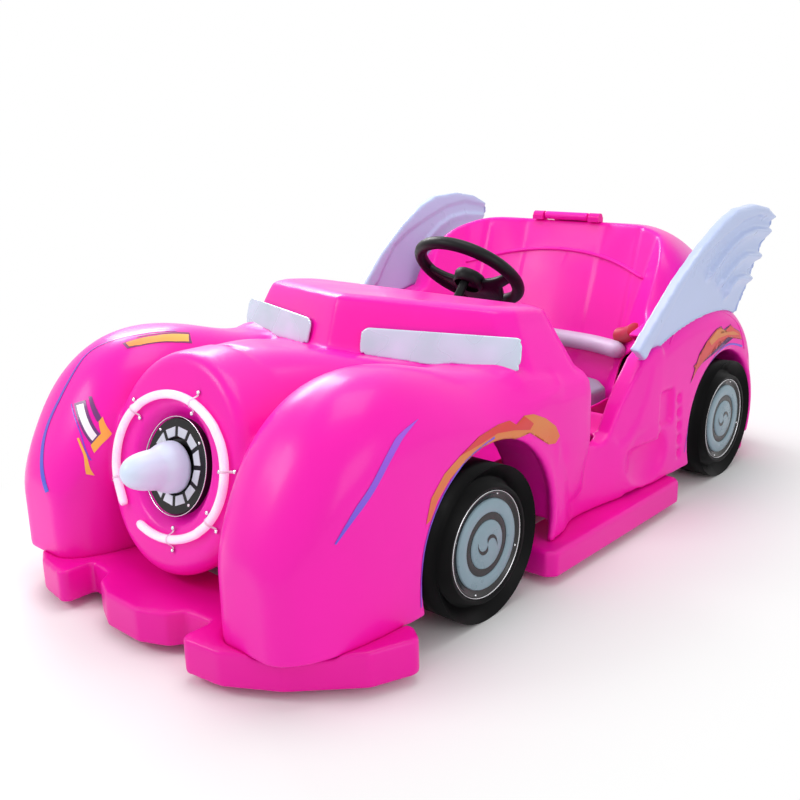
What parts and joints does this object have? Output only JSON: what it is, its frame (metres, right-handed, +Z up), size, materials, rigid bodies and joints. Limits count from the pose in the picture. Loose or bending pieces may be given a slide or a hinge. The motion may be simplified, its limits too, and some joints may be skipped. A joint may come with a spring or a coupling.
{
  "type": "kiddie electric ride-on car",
  "caption": "Low fairground ride-on electric car with pontoon fenders, a round turbine nose, a split windscreen, an open cockpit, a rear lid and white feathered wings.",
  "frame": {"origin": "middle of the car's outline at the ground", "axes": "+Z up, front of the car toward -Y, the car's left toward +X"},
  "size_m": [0.8318, 1.533, 0.575],
  "materials": {
    "pink_shell": "gloss",
    "pink_base": "gloss",
    "white_wing": "gloss",
    "screen_film": "gloss",
    "black_grille": "gloss",
    "cone": "gloss",
    "neon": "translucent",
    "clips": "gloss",
    "frame_steel": "satin",
    "axle_steel": "satin",
    "tyre": "matte",
    "wheel_disc": "gloss",
    "black_plastic": "matte",
    "belt_webbing": "matte",
    "cushion_vinyl": "satin",
    "battery_case": "matte",
    "motor_paint": "satin"
  },
  "bodies": {
    "body": {"body_front": "pink_shell", "cabin_top": "pink_shell", "body_rear": "pink_shell", "cockpit_liner": "pink_shell", "lid_hinge": "pink_base", "floor_tub": "pink_shell", "seat_cushion": "cushion_vinyl", "door_ledge_left": "pink_shell", "door_ledge_right": "pink_shell", "seat_belt": "belt_webbing", "belt_buckle": "black_plastic", "dash_panel": "pink_shell", "front_bumper": "pink_base", "running_board_left": "pink_base", "running_board_right": "pink_base", "rear_bumper": "pink_base", "wing_left": "white_wing", "wing_right": "white_wing", "windscreen_left": "screen_film", "windscreen_right": "screen_film", "nose_grille": "black_grille", "nose_cone": "cone", "neon_tube": "neon", "neon_clips": "clips", "chassis_frame": "frame_steel", "front_axle_beam": "frame_steel", "rear_axle": "axle_steel", "drive_motor": "motor_paint", "battery": "battery_case", "steering_column": "frame_steel", "foot_pedal": "black_plastic"},
    "knuckle_left": {"knuckle_left": "frame_steel"},
    "knuckle_right": {"knuckle_right": "frame_steel"},
    "tie_rod": {"tie_rod": "axle_steel"},
    "steering_wheel": {"steering_wheel": "black_plastic"},
    "rear_lid": {"rear_lid": "pink_shell"},
    "wheel_front_left": {"tyre_front_left": "tyre", "wheel_front_left": "wheel_disc"},
    "wheel_front_right": {"tyre_front_right": "tyre", "wheel_front_right": "wheel_disc"},
    "wheel_rear_left": {"tyre_rear_left": "tyre", "wheel_rear_left": "wheel_disc"},
    "wheel_rear_right": {"tyre_rear_right": "tyre", "wheel_rear_right": "wheel_disc"}
  },
  "joints": [
    {"name": "steer_left", "type": "hinge", "parent": "body", "child": "knuckle_left", "pos_m": [0.276, -0.344, 0.125], "axis": [0, 0, 1], "range_deg": [-25, 25]},
    {"name": "steer_right", "type": "hinge", "parent": "body", "child": "knuckle_right", "pos_m": [-0.276, -0.344, 0.125], "axis": [0, 0, 1], "range_deg": [-25, 25]},
    {"name": "tie_rod_pivot", "type": "hinge", "parent": "knuckle_left", "child": "tie_rod", "pos_m": [0.276, -0.272, 0.098], "axis": [0, 0, 1], "range_deg": [-25, 25]},
    {"name": "steering_wheel_turn", "type": "hinge", "parent": "body", "child": "steering_wheel", "pos_m": [0, 0.097, 0.457], "axis": [0, 0.6293, 0.7771], "range_deg": [-45, 45]},
    {"name": "rear_lid_hinge", "type": "hinge", "parent": "body", "child": "rear_lid", "pos_m": [0, 0.455, 0.539], "axis": [1, 0, 0], "range_deg": [0, 65]},
    {"name": "wheel_front_left_spin", "type": "hinge", "parent": "knuckle_left", "child": "wheel_front_left", "pos_m": [0.34, -0.344, 0.125], "axis": [1, 0, 0], "continuous": true},
    {"name": "wheel_front_right_spin", "type": "hinge", "parent": "knuckle_right", "child": "wheel_front_right", "pos_m": [-0.34, -0.344, 0.125], "axis": [1, 0, 0], "continuous": true},
    {"name": "wheel_rear_left_spin", "type": "hinge", "parent": "body", "child": "wheel_rear_left", "pos_m": [0.34, 0.494, 0.125], "axis": [1, 0, 0], "continuous": true},
    {"name": "wheel_rear_right_spin", "type": "hinge", "parent": "body", "child": "wheel_rear_right", "pos_m": [-0.34, 0.494, 0.125], "axis": [1, 0, 0], "continuous": true}
  ],
  "couplings": [
    {"joint": "steer_right", "follows": "steer_left", "ratio": 1},
    {"joint": "tie_rod_pivot", "follows": "steer_left", "ratio": -1},
    {"joint": "steering_wheel_turn", "follows": "steer_left", "ratio": 1.8}
  ]
}
